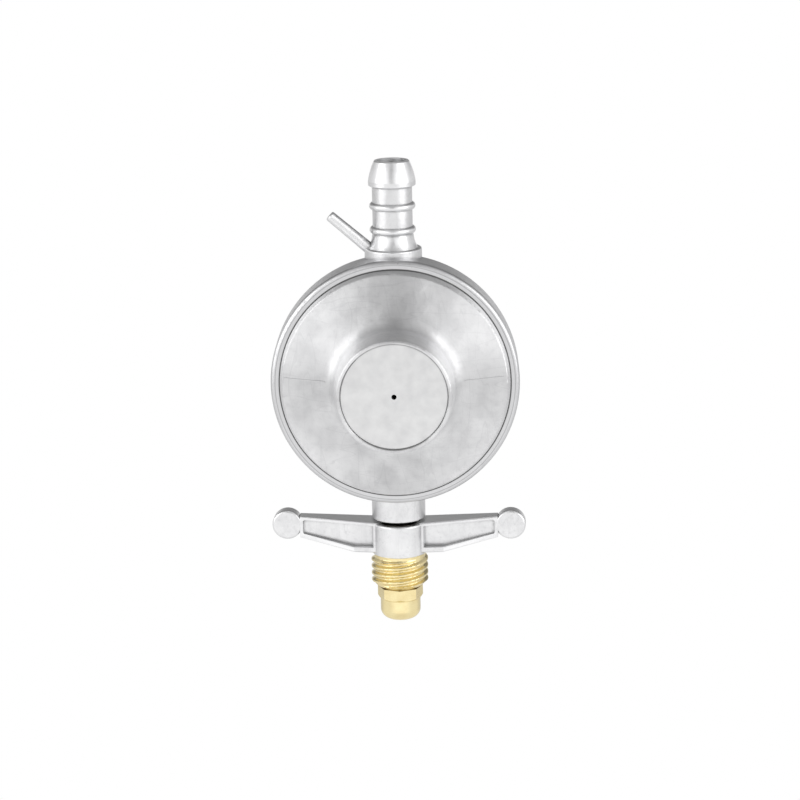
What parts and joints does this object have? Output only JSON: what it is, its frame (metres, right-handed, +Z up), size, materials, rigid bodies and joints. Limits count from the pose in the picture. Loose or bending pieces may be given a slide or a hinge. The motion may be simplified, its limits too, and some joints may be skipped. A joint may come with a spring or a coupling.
{
  "type": "low pressure gas regulator",
  "caption": "Round diaphragm gas regulator with a wing nut threaded inlet below, a hose barb outlet above and a spring boss on its face.",
  "frame": {"origin": "on the inlet axis, at the nipple's shoulder where the nose's round land ends and the octagon starts", "axes": "+Z up along the common inlet and outlet axis to the hose barb, the round face looks towards -Y, +X to the right as one looks at the face"},
  "size_m": [0.0714, 0.0375, 0.1308],
  "materials": {
    "die_cast": "as-cast zinc alloy, satin",
    "cover_metal": "die-cast zinc alloy, finely turned",
    "cap_metal": "pressed disc, matt",
    "yellow_brass": "bright turned brass",
    "sintered_bronze": "sintered grains",
    "plated_steel": "zinc plated",
    "spring_steel": "drawn wire",
    "nitrile": "matt moulded"
  },
  "bodies": {
    "regulator_body": {"body_casting": "die_cast", "cover": "cover_metal", "closing_cap": "cap_metal", "adjusting_nut": "cap_metal", "main_spring": "spring_steel", "lever_pin": "plated_steel", "pin_screw_left": "plated_steel", "pin_screw_right": "plated_steel", "seat_jet": "yellow_brass", "inlet_nipple": "yellow_brass", "inlet_filter": "sintered_bronze", "nipple_ring": "nitrile"},
    "turning_nut": {"wing_nut": "die_cast", "threaded_bush": "yellow_brass"},
    "diaphragm_pack": {"diaphragm_plate": "plated_steel", "diaphragm": "nitrile", "backing_washer": "plated_steel", "diaphragm_post": "yellow_brass", "post_nut": "plated_steel"},
    "valve_lever": {"lever": "plated_steel"},
    "valve_plunger": {"valve_holder": "yellow_brass", "valve_pad": "nitrile"}
  },
  "joints": [
    {"name": "wing_nut_turn", "type": "hinge", "parent": "regulator_body", "child": "turning_nut", "pos_m": [0, 0, 0.018], "axis": [0, 0, 1], "continuous": true},
    {"name": "diaphragm_slide", "type": "slide", "parent": "regulator_body", "child": "diaphragm_pack", "axis": [0, -1, 0], "range_m": [0, 0.0024], "stiffness_N_per_m": 500, "springref_m": -0.012, "deforming": ["main_spring", "diaphragm"]},
    {"name": "lever_turn", "type": "hinge", "parent": "regulator_body", "child": "valve_lever", "pos_m": [0, 0.006, 0.0467], "axis": [1, 0, 0], "range_deg": [0, 7.8]},
    {"name": "valve_slide", "type": "slide", "parent": "regulator_body", "child": "valve_plunger", "axis": [0, 0, -1], "range_m": [0, 0.00082]}
  ],
  "couplings": [
    {"joint": "lever_turn", "follows": "diaphragm_slide", "rad_per_m": 56.582},
    {"joint": "valve_slide", "follows": "diaphragm_slide", "ratio": 0.33845}
  ]
}
